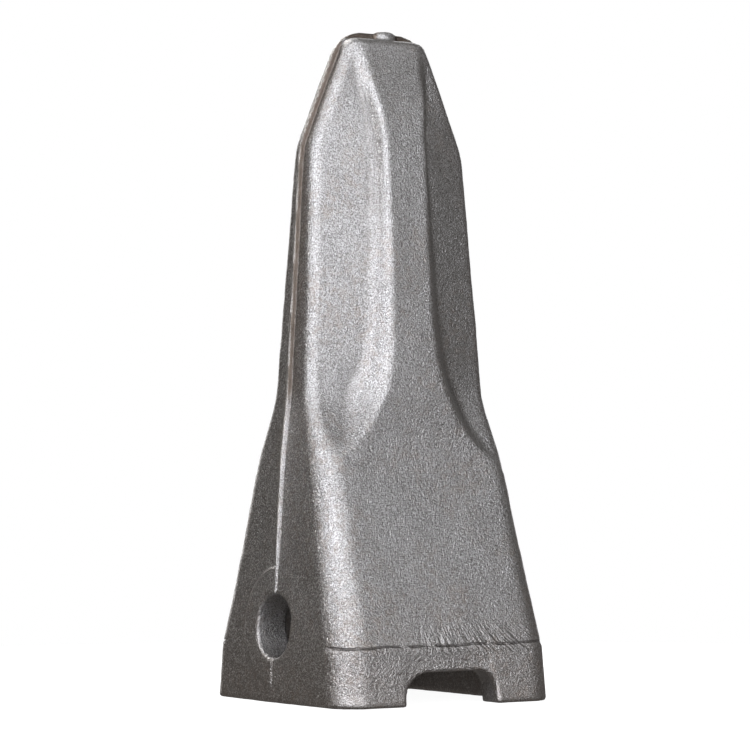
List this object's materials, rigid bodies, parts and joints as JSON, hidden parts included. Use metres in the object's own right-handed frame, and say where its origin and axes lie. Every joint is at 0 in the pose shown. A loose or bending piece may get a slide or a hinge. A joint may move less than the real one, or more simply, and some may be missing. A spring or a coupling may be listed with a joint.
{
  "type": "excavator bucket tooth",
  "caption": "Forged excavator bucket tooth with a ribbed tapering point, a hollow rear socket that slides over an adapter nose, and a split rubber-cored retaining pin.",
  "frame": {"origin": "middle of the rear rim, at the mouth of the adapter socket", "axes": "+Z from the rim to the tip, X across the tooth along the pin bore, Y through its thickness"},
  "size_m": [0.1139, 0.1046, 0.2689],
  "materials": {
    "forged_steel": "as-forged, shot-blasted, semi-matt",
    "pin_steel": "heat-treated, dark",
    "pin_rubber": "matt"
  },
  "bodies": {
    "tooth": {"tooth_point": "forged_steel"},
    "pin": {"pin_half_lower": "pin_steel", "pin_rubber_core": "pin_rubber"},
    "pin_top": {"pin_half_upper": "pin_steel"}
  },
  "joints": [
    {"name": "pin_slide", "type": "slide", "parent": "tooth", "child": "pin", "axis": [1, 0, 0], "range_m": [-0.014, 0.089]},
    {"name": "pin_squeeze", "type": "slide", "parent": "pin", "child": "pin_top", "axis": [0, 0, -1], "range_m": [0, 0.0012], "stiffness_N_per_m": 20000, "deforming": ["pin_rubber_core"]}
  ]
}
